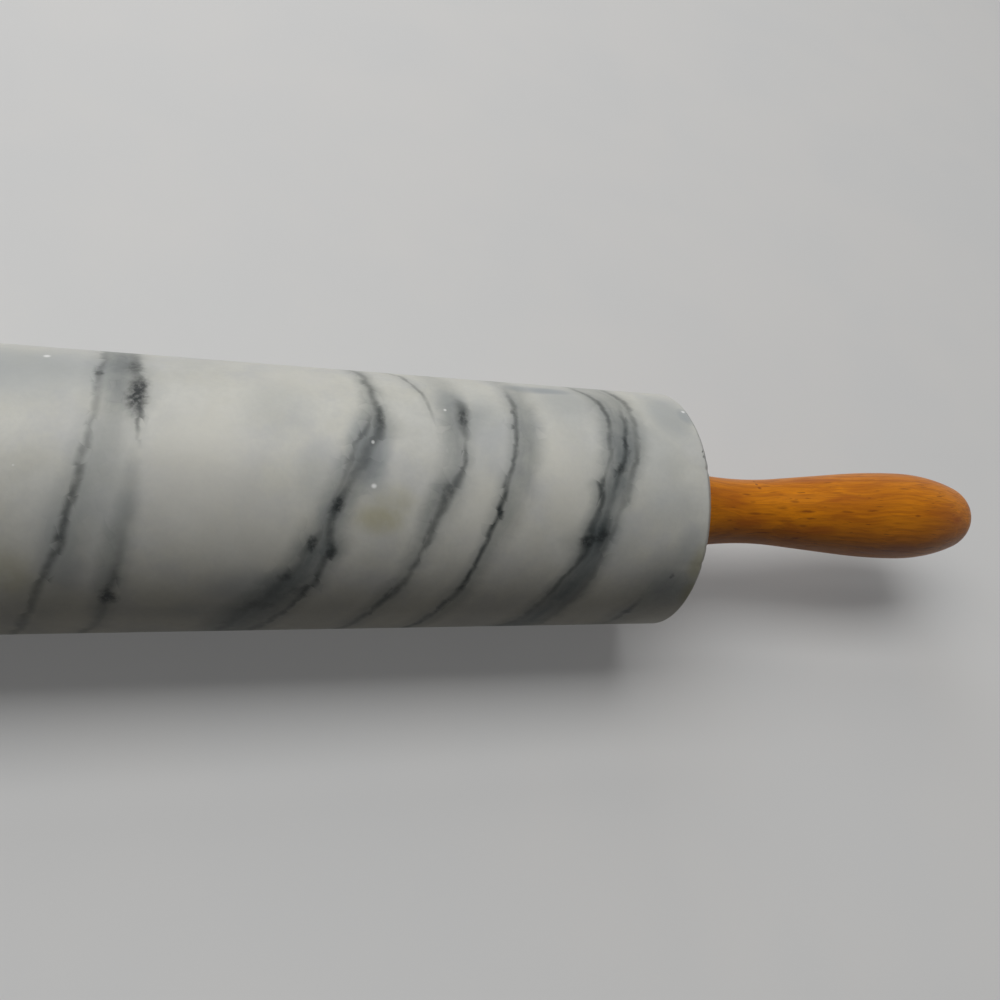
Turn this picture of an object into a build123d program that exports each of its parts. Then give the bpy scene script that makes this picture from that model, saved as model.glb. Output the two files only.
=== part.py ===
"""Marble rolling pin: a stone barrel that turns on a steel axle between two turned handles.

Millimetres. The rolling axis is X, with the origin at the barrel's centre and +Z up. The barrel
and the axle are drawn whole. The other pieces are drawn for the right end, where +X points out of
the barrel, and mirrored to the left end.
"""

import os
from math import cos, radians, sin, tan

from build123d import *

# Barrel: a ground and polished stone cylinder, bored right through
barrel_diameter = 60.0
barrel_length = 254.0
barrel_edge_chamfer = 1.2
bore_diameter = 16.0
bore_chamfer = 0.6

# Bushes: moulded nylon, gripped in the bore by crush ribs, with a flange on the end face
bush_flange_diameter = 22.0
bush_flange_thickness = 1.5
bush_flange_chamfer = 0.4
bush_length = 24.0
bush_lead_length = 3.0
bush_lead_depth = 0.5
bush_mouth_chamfer = 0.5
rib_height = 0.35
rib_width = 1.2
rib_count = 6

# Axle: a bright steel rod, turned down past a shoulder at each end for the handles' thread
rod_diameter = 8.0
running_clearance = 0.05
shoulder_chamfer = 0.25
thread_diameter = 6.0
thread_clearance = 0.05
thread_overhang = 3.0
thread_end_chamfer = 0.9
relief_depth = 0.6
relief_width = 1.2

# Washers: clamped against the shoulders, clear of the bush flanges by the end float
end_float = 0.3
washer_diameter = 18.0
washer_hole_diameter = 6.4
washer_thickness = 1.6
washer_edge_chamfer = 0.25

# Threaded inserts: flanged brass sleeves let into the handles, slotted for the driver
insert_diameter = 9.5
insert_length = 18.0
insert_flange_diameter = 13.0
insert_flange_thickness = 1.4
insert_mouth_chamfer = 0.6
insert_end_chamfer = 0.8
insert_seat_clearance = 0.05
slot_width = 1.6
slot_depth = 2.6

# Handles: turned hardwood, with a slender neck, a straight taper up to a full belly, and a ball
# nose. Neck and belly lie at shares of the handle's length, and the nose follows the belly.
handle_length = 100.0
handle_base_diameter = 22.4
handle_base_chamfer = 0.8
handle_neck_diameter = 17.5
handle_belly_diameter = 24.9
neck_place_share = 0.235
belly_place_share = 0.752
nose_radius_share = 0.8
taper_angle = 5.8
pilot_run_out = 4.0
drill_point_angle = 118.0

# One overrun serves every cut that passes a face
cut_overrun = 1.0

# Radii
bore_radius = bore_diameter / 2
bush_radius = bore_radius - rib_height
rod_radius = rod_diameter / 2
thread_radius = thread_diameter / 2
relief_radius = thread_radius - relief_depth
pilot_radius = insert_diameter / 2 + insert_seat_clearance
flange_seat_radius = insert_flange_diameter / 2 + insert_seat_clearance
base_radius = handle_base_diameter / 2
neck_radius = handle_neck_diameter / 2
belly_radius = handle_belly_diameter / 2

# Places along the axle, from the barrel's centre out to the tip of the right handle
barrel_end = barrel_length / 2
flange_face = barrel_end + bush_flange_thickness
shoulder_face = flange_face + end_float
handle_base = shoulder_face + washer_thickness
insert_end = handle_base + insert_length
thread_end = insert_end + thread_overhang
pilot_end = thread_end + pilot_run_out
pilot_tip = pilot_end + pilot_radius / tan(radians(drill_point_angle / 2))
neck_place = handle_base + neck_place_share * handle_length
belly_place = handle_base + belly_place_share * handle_length
handle_tip = handle_base + handle_length
bush_inner_end = barrel_end - bush_length
rib_start = bush_inner_end + bush_lead_length


# Stone barrel, with ground chamfers on its rims and on the two mouths of the bore. The plane of
# its section has X pointing up, so the seams of the round walls run along the top.
left_end = Plane(origin=(-barrel_end, 0, 0), x_dir=(0, 0, 1), z_dir=(1, 0, 0))
with BuildPart() as barrel:
    with BuildSketch(left_end):
        Circle(barrel_diameter / 2)
        Circle(bore_radius, mode=Mode.SUBTRACT)
    extrude(amount=barrel_length)
    mouths = barrel.edges().filter_by(GeomType.CIRCLE).group_by(SortBy.RADIUS)[0]
    chamfer(mouths, length=bore_chamfer)
    rims = barrel.edges().filter_by(GeomType.CIRCLE).group_by(SortBy.RADIUS)[-1]
    chamfer(rims, length=barrel_edge_chamfer)
barrel.part.label = "barrel"


# Bush: a flanged sleeve with a tapered lead at its inner end. The crush ribs behind the lead
# stand out to the bore's wall, and the bore for the rod is eased where the rod enters.
with BuildPart() as right_bush:
    with BuildSketch(Plane.XY):
        with BuildLine():
            Polyline(
                (bush_inner_end, 0),
                (bush_inner_end, bush_radius - bush_lead_depth),
                (rib_start, bush_radius),
                (barrel_end, bush_radius),
                (barrel_end, bush_flange_diameter / 2),
                (flange_face, bush_flange_diameter / 2),
                (flange_face, 0),
                close=True,
            )
        make_face()
    revolve(axis=Axis.X)
    flange_rim = right_bush.edges().filter_by(GeomType.CIRCLE).group_by(Axis.X)[-1]
    chamfer(flange_rim, length=bush_flange_chamfer)
    with BuildSketch(Plane.YZ.offset(rib_start)):
        with PolarLocations(bush_radius, rib_count):
            Rectangle(2 * rib_height, rib_width)
        Circle(bore_radius, mode=Mode.INTERSECT)
    extrude(amount=barrel_end - rib_start)
    with BuildSketch(Plane.YZ.offset(bush_inner_end)):
        Circle(rod_radius + running_clearance)
    extrude(amount=bush_length + bush_flange_thickness, mode=Mode.SUBTRACT)
    mouths = right_bush.edges().filter_by(GeomType.CIRCLE).group_by(SortBy.RADIUS)[0]
    chamfer(mouths, length=bush_mouth_chamfer)
right_bush.part.label = "right_bush"


# Axle rod: one profile, mirrored about the barrel's centre and turned. A relief groove at each
# shoulder lets the washer seat square, and each thread end is bevelled to start in its insert.
with BuildPart() as axle_rod:
    with BuildSketch(Plane.XY):
        with BuildLine():
            Polyline(
                (0, rod_radius),
                (shoulder_face, rod_radius),
                (shoulder_face, relief_radius),
                (shoulder_face + relief_width, relief_radius),
                (shoulder_face + relief_width, thread_radius),
                (thread_end, thread_radius),
                (thread_end, 0),
            )
            mirror(about=Plane.YZ)
            Line((-thread_end, 0), (thread_end, 0))
        make_face()
    revolve(axis=Axis.X)
    shoulders = axle_rod.edges().filter_by(GeomType.CIRCLE).group_by(SortBy.RADIUS)[-1]
    chamfer(shoulders, length=shoulder_chamfer)
    rings = axle_rod.edges().filter_by(GeomType.CIRCLE).group_by(Axis.X)
    chamfer(rings[0] + rings[-1], length=thread_end_chamfer)
axle_rod.part.label = "axle_rod"


# Washer: a punched ring with its outer edges broken
with BuildPart() as right_washer:
    with BuildSketch(Plane.YZ.offset(shoulder_face)):
        Circle(washer_diameter / 2)
        Circle(washer_hole_diameter / 2, mode=Mode.SUBTRACT)
    extrude(amount=washer_thickness)
    outer_edges = right_washer.edges().filter_by(GeomType.CIRCLE).group_by(SortBy.RADIUS)[-1]
    chamfer(outer_edges, length=washer_edge_chamfer)
right_washer.part.label = "right_washer"


# Threaded insert: its flange lies flush with the handle's base, and a driver slot crosses it
with BuildPart() as right_insert:
    with BuildSketch(Plane.YZ.offset(handle_base)):
        Circle(insert_diameter / 2)
    extrude(amount=insert_length)
    inner_rim = right_insert.edges().filter_by(GeomType.CIRCLE).group_by(Axis.X)[-1]
    chamfer(inner_rim, length=insert_end_chamfer)
    with BuildSketch(Plane.YZ.offset(handle_base)):
        Circle(insert_flange_diameter / 2)
    extrude(amount=insert_flange_thickness)
    with BuildSketch(Plane.YZ.offset(handle_base)):
        Circle(thread_radius + thread_clearance)
    extrude(amount=insert_length, mode=Mode.SUBTRACT)
    face_rings = right_insert.edges().filter_by(GeomType.CIRCLE).group_by(Axis.X)[0]
    chamfer(face_rings.sort_by(SortBy.RADIUS)[0], length=insert_mouth_chamfer)
    with BuildSketch(Plane.YZ.offset(handle_base)):
        Rectangle(insert_flange_diameter + 2 * cut_overrun, slot_width)
    extrude(amount=slot_depth, mode=Mode.SUBTRACT)
right_insert.part.label = "right_insert"


# Handle. One hollow arc makes the neck and runs out to the base. The taper leaves it at its own
# angle and meets the swell, the arc that levels out at the belly. From there a blend arc closes
# on the ball nose, where the centres of the two line up. The socket inside is a flange seat, a
# pilot bore for the insert and the drill's cone at the bottom.
base_reach = neck_place - (handle_base + handle_base_chamfer)
base_flare = base_radius - neck_radius
neck_arc_radius = (base_reach**2 + base_flare**2) / (2 * base_flare)
slope = radians(taper_angle)
taper_reach = belly_place - neck_place - neck_arc_radius * sin(slope)
taper_rise = belly_radius - neck_radius - neck_arc_radius * (1 - cos(slope))
swell_radius = (taper_reach * tan(slope) - taper_rise) / (1 / cos(slope) - 1)
nose_radius = nose_radius_share * belly_radius
nose_reach = handle_tip - belly_place
blend_radius = (nose_reach**2 + belly_radius**2 - 2 * nose_reach * nose_radius) / (
    2 * (belly_radius - nose_radius)
)
nose_centre = Vector(handle_tip - nose_radius, 0)
blend_centre = Vector(belly_place, belly_radius - blend_radius)
blend_point = nose_centre + (nose_centre - blend_centre).normalized() * nose_radius
with BuildPart() as right_handle:
    with BuildSketch(Plane.XY):
        with BuildLine():
            base_rim = (handle_base + handle_base_chamfer, base_radius)
            Polyline(
                (handle_tip, 0),
                (handle_base, 0),
                (handle_base, base_radius - handle_base_chamfer),
                base_rim,
            )
            TangentArc((neck_place, neck_radius), base_rim, tangent=(-1, 0))
            neck = JernArc((neck_place, neck_radius), (1, 0), neck_arc_radius, taper_angle)
            swell = JernArc((belly_place, belly_radius), (-1, 0), swell_radius, taper_angle)
            Line(neck @ 1, swell @ 1)
            TangentArc((belly_place, belly_radius), blend_point, tangent=(1, 0))
            TangentArc((handle_tip, 0), blend_point, tangent=(0, 1))
        make_face()
    revolve(axis=Axis.X)
    with BuildSketch(Plane.XY):
        with BuildLine():
            Polyline(
                (handle_base - cut_overrun, 0),
                (handle_base - cut_overrun, flange_seat_radius),
                (handle_base + insert_flange_thickness, flange_seat_radius),
                (handle_base + insert_flange_thickness, pilot_radius),
                (pilot_end, pilot_radius),
                (pilot_tip, 0),
                close=True,
            )
        make_face()
    revolve(axis=Axis.X, mode=Mode.SUBTRACT)
right_handle.part.label = "right_handle"


os.makedirs("parts", exist_ok=True)
for whole in (barrel, axle_rod):
    export_step(whole.part, f"parts/{whole.part.label}.step")

for right in (right_bush, right_washer, right_insert, right_handle):
    with BuildPart() as left:
        mirror(right.part, about=Plane.YZ)
    left.part.label = right.part.label.replace("right", "left")
    export_step(right.part, f"parts/{right.part.label}.step")
    export_step(left.part, f"parts/{left.part.label}.step")
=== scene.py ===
# %% [markdown]
# # A marble rolling pin, dressed in Blender
#
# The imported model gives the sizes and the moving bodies. This lesson adds what the eye needs: a
# veined stone barrel, varnished handles, the fittings that let them turn, and a pale table top
# under soft light. Every piece is a surface worked out with numpy in millimetres and stored in
# metres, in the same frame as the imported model: X runs along the axle and Z points up.

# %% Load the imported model
from math import cos, pi, radians, sin, tan

import bpy
import numpy as np
from mathutils import Matrix, Vector


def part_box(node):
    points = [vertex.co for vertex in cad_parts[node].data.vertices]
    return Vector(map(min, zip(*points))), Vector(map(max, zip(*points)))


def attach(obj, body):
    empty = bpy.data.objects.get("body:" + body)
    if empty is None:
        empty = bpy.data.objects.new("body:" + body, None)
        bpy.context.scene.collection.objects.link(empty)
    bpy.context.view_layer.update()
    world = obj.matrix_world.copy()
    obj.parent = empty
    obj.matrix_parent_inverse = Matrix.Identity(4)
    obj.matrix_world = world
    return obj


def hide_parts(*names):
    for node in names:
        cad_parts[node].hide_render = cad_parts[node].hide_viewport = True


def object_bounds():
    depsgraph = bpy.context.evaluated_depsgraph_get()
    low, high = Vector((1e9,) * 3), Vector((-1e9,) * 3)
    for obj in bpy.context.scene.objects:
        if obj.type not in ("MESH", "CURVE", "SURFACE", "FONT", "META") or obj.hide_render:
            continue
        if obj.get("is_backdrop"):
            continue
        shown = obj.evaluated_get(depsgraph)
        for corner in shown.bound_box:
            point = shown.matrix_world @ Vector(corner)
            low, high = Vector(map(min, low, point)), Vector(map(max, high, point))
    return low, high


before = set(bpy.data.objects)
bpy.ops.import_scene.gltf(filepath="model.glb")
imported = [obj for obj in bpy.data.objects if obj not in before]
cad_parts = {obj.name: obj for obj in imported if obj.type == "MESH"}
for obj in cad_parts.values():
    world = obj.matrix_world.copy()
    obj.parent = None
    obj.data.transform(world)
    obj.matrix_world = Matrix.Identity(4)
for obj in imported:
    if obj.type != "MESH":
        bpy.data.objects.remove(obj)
cad_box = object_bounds()
mm = 0.001
print("nodes", sorted(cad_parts))

# %% [markdown]
# ## Sizes
#
# Lengths and radii come from the nodes' boxes wherever a box shows them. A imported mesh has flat
# facets, so its box is a hair smaller than the true circle, and the radius taken here is that of
# the largest circle inside the box. Only what a box can't show is written out in millimetres.

# %% Measure the nodes


def inner_radius(node):
    """The radius of the widest circle round the X axis that fits inside a node's box, in mm."""
    low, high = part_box(node)
    return min(-low.y, high.y, -low.z, high.z) / mm


barrel_radius = inner_radius("barrel")
barrel_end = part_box("barrel")[1].x / mm
bush_inner_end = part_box("right_bush")[0].x / mm
flange_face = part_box("right_bush")[1].x / mm
flange_radius = inner_radius("right_bush")
washer_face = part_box("right_washer")[0].x / mm
washer_radius = inner_radius("right_washer")
handle_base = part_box("right_handle")[0].x / mm
handle_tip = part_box("right_handle")[1].x / mm
belly_radius = inner_radius("right_handle")
insert_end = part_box("right_insert")[1].x / mm
thread_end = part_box("axle_rod")[1].x / mm
rod_radius = inner_radius("axle_rod")
print(f"barrel: radius {barrel_radius:.3f} mm, ends {barrel_end:.2f} mm out")
print(f"handle: radius {belly_radius:.3f} mm, from {handle_base:.2f} to {handle_tip:.2f} mm")

# %% [markdown]
# ## Surfaces of revolution
#
# Nearly every piece of a rolling pin is turned on a lathe or moulded round. Blender could spin a
# curve, but a grid of points worked out in one go is easier to control: each row of the grid is
# one ring, and a ring can be made uneven for a rib, a chip or a screw thread.

# %% Helpers for outlines

# The radius in mm at which a fan closes a pole, and a hair that tells a surface from the next one
pole_radius = 0.02
hair = 0.01


def soften(corners, radius, steps=3, most=0.45):
    """Rounds the inner corners of an open outline, each by a curve that takes at most this share
    of its sides. The curve's point at share t is (1-t)^2 times its start, plus 2t(1-t) times the
    corner, plus t^2 times its end."""
    corners = np.asarray(corners, float)
    share = np.linspace(0, 1, steps + 1)[:, None]
    parts = [corners[:1]]
    for before, corner, after in zip(corners, corners[1:], corners[2:]):
        start = corner + (before - corner) * min(most, radius / np.linalg.norm(before - corner))
        end = corner + (after - corner) * min(most, radius / np.linalg.norm(after - corner))
        parts.append((1 - share) ** 2 * start + 2 * share * (1 - share) * corner + share**2 * end)
    return np.vstack(parts + [corners[-1:]])


def fill_in(outline, longest, closest=0.4):
    """Adds evenly spaced points along each straight run, so that no step is over longest. A long
    run also gets a point within closest of each end, so that its shading stays flat."""
    outline = np.asarray(outline, float)
    runs = np.linalg.norm(np.diff(outline, axis=0), axis=1)
    close = min(longest / 3, closest)
    parts = []
    for start, end, run in zip(outline, outline[1:], runs):
        steps = max(1, int(np.ceil(run / longest)))
        shares = np.arange(steps) / steps
        if run > 4 * close:
            shares = np.unique(np.concatenate([shares, [close / run, 1 - close / run]]))
        parts.append(start + shares[:, None] * (end - start))
    return np.vstack(parts + [outline[-1:]])


def facing(outline, side):
    """An outline drawn for the right end, as it is for side 1, or carried to the left end for
    side -1: X changes sign, and the rows turn round so that faces still point outwards."""
    return outline if side > 0 else outline[::-1] * (-1, 1)


def ring_outline(corners, softness, longest, start, side):
    """The outline of a ring, from corners that end on the first one again. It is softened, filled
    in, rid of its doubled point, moved along X to start, and faced to its side."""
    return facing(fill_in(soften(corners, softness), longest)[:-1] + (start, 0), side)


# %% Helpers for grids


def ring_grid(outline, columns):
    """Turns an outline of (along, radius) round the X axis. The point of row i and column j is
    (along_i, radius_i cos a_j, radius_i sin a_j), where a_j is j even shares of a full turn."""
    angle = np.arange(columns) * 2 * pi / columns
    along, radius = outline[:, :1], outline[:, 1:]
    return np.stack([along + 0 * angle, radius * np.cos(angle), radius * np.sin(angle)], axis=-1)


def polar(grid):
    """How far each point lies from the X axis, sqrt(y^2 + z^2), and its angle round the axis,
    whose tangent is z / y."""
    return np.hypot(grid[..., 1], grid[..., 2]), np.arctan2(grid[..., 2], grid[..., 1])


def reshape_rings(grid, radius):
    """Moves each point straight out or in, so that its distance from the axle is radius."""
    grid[..., 1:] *= (radius / np.maximum(polar(grid)[0], 1e-6))[..., None]


def add_surface(name, grid, body, loop=True):
    """Makes a piece from a grid of points in mm, whose columns close on themselves. With loop the
    rows close too, as round a ring. Without it a fan closes the first and the last row on the
    middle of that row. Faces point outwards where the rows run towards +X on the outside."""
    rows, columns = grid.shape[:2]
    numbers = np.arange(rows * columns).reshape(rows, columns)
    lower = numbers if loop else numbers[:-1]
    upper = np.roll(numbers, -1, axis=0)[: len(lower)]
    quads = np.stack([lower, np.roll(lower, -1, 1), np.roll(upper, -1, 1), upper], axis=-1)
    faces = quads.reshape(-1, 4).tolist()
    points = grid.reshape(-1, 3)
    if not loop:
        points = np.vstack([points, grid[0].mean(0), grid[-1].mean(0)])
        middle = np.full(columns, rows * columns)
        first, last = numbers[0], numbers[-1]
        faces += np.stack([middle, np.roll(first, -1), first], axis=-1).tolist()
        faces += np.stack([middle + 1, last, np.roll(last, -1)], axis=-1).tolist()
    mesh = bpy.data.meshes.new(name)
    mesh.from_pydata((points * mm).tolist(), [], faces)
    mesh.shade_smooth()
    piece = bpy.data.objects.new(name, mesh)
    bpy.context.scene.collection.objects.link(piece)
    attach(piece, body)
    print(f"{name}: {sum(len(face) - 2 for face in faces)} triangles")
    return piece


sides = {"right": 1, "left": -1}

# %% [markdown]
# ## The camera
#
# The photograph was taken close up, so the barrel tapers towards its far end. The camera is
# placed by what it sees: how far to the right, down and forward the middle of the barrel's right
# end lies, how the axle turns and dips in the view, and how steeply the camera looks down.

# %% Place the camera
picture_side = 1000
focal_pixels = 780
end_seen = Vector((40.03, 2.29, 206.32))
axle_turn = radians(16.87)
axle_dip = radians(1.74)
camera_elevation = radians(62.5)

axle_seen = Vector((cos(axle_turn) * cos(axle_dip), sin(axle_dip), sin(axle_turn) * cos(axle_dip)))
towards_camera = Vector((sin(axle_turn), 0, -cos(axle_turn)))
picture_up = towards_camera.cross(axle_seen)
up_seen = sin(camera_elevation) * towards_camera + cos(camera_elevation) * picture_up
side_seen = up_seen.cross(axle_seen)
seen = Matrix((axle_seen, side_seen, up_seen))
camera_place = Vector((barrel_end, 0, 0)) - seen @ end_seen
camera_turn = Matrix((seen.col[0], -seen.col[1], -seen.col[2])).transposed()

camera_data = bpy.data.cameras.new("close_view")
camera_data.sensor_width = 36
camera_data.lens = camera_data.sensor_width * focal_pixels / picture_side
camera_data.clip_start = 0.01
camera = bpy.data.objects.new("close_view", camera_data)
camera.matrix_world = Matrix.Translation(camera_place * mm) @ camera_turn.to_4x4()
bpy.context.scene.collection.objects.link(camera)
bpy.context.scene.camera = camera
print("picture up is", [round(v, 3) for v in picture_up])
print("camera at", [round(v, 1) for v in camera_place], "mm")

# %% From a pixel to the stone


def on_barrel(pixels, radius=barrel_radius):
    """Where rays through the pixels meet the barrel's wall, or a rounder or slimmer one: places
    along X in mm, and angles round the axle, from the side that faces the camera and positive
    towards picture up. A ray is camera + t * direction, and t is the nearer root of
    y^2 + z^2 = radius^2."""
    pixels = np.asarray(pixels, float) - picture_side / 2
    rays = np.column_stack([pixels, np.full(len(pixels), focal_pixels)]) @ np.array(seen).T
    start = np.array(camera_place)
    a = (rays[:, 1:] ** 2).sum(1)
    b = 2 * (rays[:, 1:] * start[1:]).sum(1)
    c = (start[1:] ** 2).sum() - radius**2
    t = (-b - np.sqrt(np.maximum(b * b - 4 * a * c, 0))) / (2 * a)
    along, y, z = (start + t[:, None] * rays).T
    up = y * sin(camera_elevation) + z * cos(camera_elevation)
    out = -y * cos(camera_elevation) + z * sin(camera_elevation)
    return along, np.arctan2(up, out)


along, angle = on_barrel([(0, 485), (700, 500)])
print("the picture shows the barrel from", round(along[0], 1), "to", round(along[1], 1), "mm")

# %% [markdown]
# ## The stone barrel
#
# A marble pin is a ground cylinder with a hole drilled right through. Its rims are broken with a
# narrow chamfer, because a sharp marble edge crumbles, and it crumbles a little all the same. So
# the outline has softened corners, and a few small chips are pressed into the rims.

# %% Outline of the barrel
rim_chamfer = 1.2
bore_radius = 8.0
bore_chamfer = 0.6
corner_softness = 0.35

half_barrel = [
    (0, barrel_radius),
    (barrel_end - rim_chamfer, barrel_radius),
    (barrel_end, barrel_radius - rim_chamfer),
    (barrel_end, bore_radius + bore_chamfer),
    (barrel_end - bore_chamfer, bore_radius),
    (0, bore_radius),
]
half_outline = fill_in(soften(half_barrel, corner_softness), longest=6.0)
barrel_outline = np.vstack([half_outline, (half_outline * (-1, 1))[-2:0:-1]])
barrel_grid = ring_grid(barrel_outline, columns=480)

# %% Chips along the rims
chip_depth = 0.22
chip_width = 0.8
chips_on_each_rim = 6
smallest_chip = 0.3
seen_chip = np.array([(703, 457)])


def press_chips(grid, end, angles, sizes):
    """Moves rim points down into the stone, along the line that leans back from the chamfer. The
    depth is the sum, over the chips, of size * exp(-(distance along the rim / width)^2), faded by
    exp(-(distance from the chamfer's middle / its length)^2)."""
    radius, angle = polar(grid)
    middle = rim_chamfer / 2
    away = np.hypot(np.abs(grid[..., 0] - end) - middle, barrel_radius - radius - middle)
    turn = np.angle(np.exp(1j * (angle[..., None] - angles)))
    depth = (sizes * np.exp(-((turn * barrel_radius / (chip_width * sizes)) ** 2))).sum(-1)
    depth = chip_depth * depth * np.exp(-((away / rim_chamfer) ** 2))
    grid[..., 0] -= np.sign(end) * depth
    grid[..., 1:] *= (1 - depth / radius)[..., None]
    return depth.max()


chance = np.random.default_rng(7)
for side, sign in sides.items():
    chip_angles = chance.uniform(-pi, pi, chips_on_each_rim)
    chip_sizes = chance.uniform(smallest_chip, 1.0, chips_on_each_rim)
    if side == "right":
        chip_angles[0] = pi - camera_elevation - on_barrel(seen_chip)[1][0]
    deepest = press_chips(barrel_grid, sign * barrel_end, chip_angles, chip_sizes)
    print(f"{side} rim: deepest chip {deepest:.2f} mm")
stone = add_surface("stone_barrel", barrel_grid, "barrel")
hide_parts("barrel")

# %% [markdown]
# ## The handles
#
# Each handle is turned from one billet: a slender neck, a straight taper up to a full belly, and
# a ball nose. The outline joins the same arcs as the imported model, each tangent to the next, so
# the light runs over it with no break. Inside is the stepped hole for the threaded insert.

# %% Outline of a handle
base_radius = 11.2
base_chamfer = 0.8
neck_radius = 8.75
neck_place = 23.5
belly_place = 75.2
taper = radians(5.8)
nose_radius = 0.8 * belly_radius
flange_depth = 1.4
flange_seat_radius = 6.55
pilot_radius = 4.8
pilot_run_out = 4.0
drill_angle = radians(118)

handle_length = handle_tip - handle_base
neck_arc = ((neck_place - base_chamfer) ** 2 / (base_radius - neck_radius) + base_radius - neck_radius) / 2
rise = belly_radius - neck_radius - neck_arc * (1 - cos(taper))
reach = belly_place - neck_place - neck_arc * sin(taper)
swell_arc = (reach * tan(taper) - rise) / (1 / cos(taper) - 1)
nose_reach = handle_length - belly_place
blend_arc = nose_reach**2 + belly_radius**2 - 2 * nose_reach * nose_radius
blend_arc /= 2 * (belly_radius - nose_radius)


def handle_radius(place):
    """The radius at places in mm from the handle's base. An arc of radius R about the neck or the
    belly adds or takes R - sqrt(R^2 - distance^2), the taper is a straight line between them, and
    the nose is sqrt(R^2 - distance^2) about its own centre."""
    neck = neck_radius + neck_arc - np.sqrt(neck_arc**2 - (place - neck_place) ** 2)
    taper_start = neck_place + neck_arc * sin(taper)
    straight = neck_radius + neck_arc * (1 - cos(taper)) + (place - taper_start) * tan(taper)
    past = np.abs(place - belly_place)
    swell = belly_radius - swell_arc + np.sqrt(swell_arc**2 - past**2)
    blend = belly_radius - blend_arc + np.sqrt(np.maximum(blend_arc**2 - past**2, 0))
    nose_middle = handle_length - nose_radius
    nose = np.sqrt(np.maximum(nose_radius**2 - (place - nose_middle) ** 2, 0))
    lean = (nose_middle - belly_place) / (blend_arc - nose_radius)
    blend_end = nose_middle + nose_radius * lean
    starts = [place < taper_start, place < belly_place - swell_arc * sin(taper)]
    starts += [place < belly_place, place < blend_end]
    return np.select(starts, [neck, straight, swell, blend], nose)


# The rows crowd together towards the nose, where the outline turns most
nose_crowding = 1.6
skin_rows = 260
share = np.linspace(0, 1, skin_rows)
places = base_chamfer + (handle_length - base_chamfer) * (1 - (1 - share) ** nose_crowding)
skin = np.column_stack([places, handle_radius(places)])
insert_length = insert_end - handle_base
pilot_end = thread_end - handle_base + pilot_run_out
pilot_tip = pilot_end + pilot_radius / tan(drill_angle / 2)
socket = [
    (pilot_tip, pole_radius),
    (pilot_end, pilot_radius),
    (flange_depth, pilot_radius),
    (flange_depth, flange_seat_radius),
    (0, flange_seat_radius),
    (0, base_radius - base_chamfer),
    (base_chamfer, base_radius),
]
handle_outline = np.vstack([fill_in(soften(socket, radius=0.15), longest=2.5)[:-1], skin])
print(f"neck arc {neck_arc:.1f}, swell arc {swell_arc:.1f}, blend arc {blend_arc:.1f} mm")

# %% Turn both handles
handles = {}
for side, sign in sides.items():
    grid = ring_grid(facing(handle_outline + (handle_base, 0), sign), columns=160)
    name = f"{side}_turned_handle"
    handles[side] = add_surface(name, grid, "handles", loop=False)
    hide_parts(f"{side}_handle")

# %% [markdown]
# ## The axle and its screw threads
#
# One steel rod runs through the stone. Its ends are turned down and threaded, and each handle is
# screwed on until its washer is clamped on the shoulder. A screw thread is one ridge wound round
# the rod, so a point's height on the ridge depends on its place and its angle together.

# %% Thread formula
thread_pitch = 1.0
thread_major = 2.98
thread_minor = 2.39
thread_play = 0.06


def ridge(along, angle, pitch):
    """Height of a right-hand thread's ridge, from 0 in the groove to 1 on the crest. The phase is
    place / pitch - angle / full turn, without its whole turns, and the ridge is the triangle wave
    1.4 * (1 - |2 * phase - 1|) - 0.2, cut flat at 0 and 1."""
    phase = np.mod(along / pitch - angle / (2 * pi), 1)
    return np.clip(1.4 * (1 - np.abs(2 * phase - 1)) - 0.2, 0, 1)


def screw_radius(grid):
    """Radius of the rod's thread at each point of a grid: minor + (major - minor) * ridge."""
    height = ridge(grid[..., 0], polar(grid)[1], thread_pitch)
    return thread_minor + (thread_major - thread_minor) * height


# %% Outline of the rod
relief_radius = 2.4
relief_width = 1.2
shoulder_chamfer = 0.25
thread_bevel = 0.9
rows_per_turn = 12

thread_start = washer_face + relief_width
bevel_start = thread_end - thread_bevel
shoulder = soften([
    (thread_start, relief_radius),
    (washer_face, relief_radius),
    (washer_face, rod_radius - shoulder_chamfer),
    (washer_face - shoulder_chamfer, rod_radius),
    (0, rod_radius),
], radius=0.1)
thread_places = np.arange(thread_start, bevel_start, thread_pitch / rows_per_turn)
thread_rows = np.column_stack([thread_places, np.full(len(thread_places), thread_major)])
share = np.linspace(0, 1, rows_per_turn)[:, None]
bevel = (1 - share) * (bevel_start, thread_major) + share * (thread_end, thread_major - thread_bevel)
half_rod = np.vstack([
    (thread_end, pole_radius), bevel[::-1], thread_rows[:0:-1], fill_in(shoulder, longest=8.0),
])
rod_outline = np.vstack([half_rod * (-1, 1), half_rod[-2::-1]])

# %% Turn the rod and cut its threads
grid = ring_grid(rod_outline, columns=48)
now = polar(grid)[0]
threaded = np.abs(grid[..., 0]) > thread_start + hair
reshape_rings(grid, np.where(threaded, np.minimum(now, screw_radius(grid)), now))
rod = add_surface("threaded_rod", grid, "handles", loop=False)
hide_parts("axle_rod")

# %% [markdown]
# ## Inserts, washers and bushes
#
# A brass insert is screwed into each handle by the slot across its flange. It has a coarse thread
# outside, which bites into the wood, and the rod's fine thread inside. The washer is a punched
# ring. The nylon bush is moulded, with six small ribs that are crushed as it is pushed into the
# stone, so it stays tight in a bore that can't be made exact.

# %% Threaded inserts
insert_radius = 4.75
insert_root = 4.15
insert_flange_radius = 6.45
insert_pitch = 2.5
insert_chamfer = 0.8
insert_mouth = 0.4
plain_neck = 0.3

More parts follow.
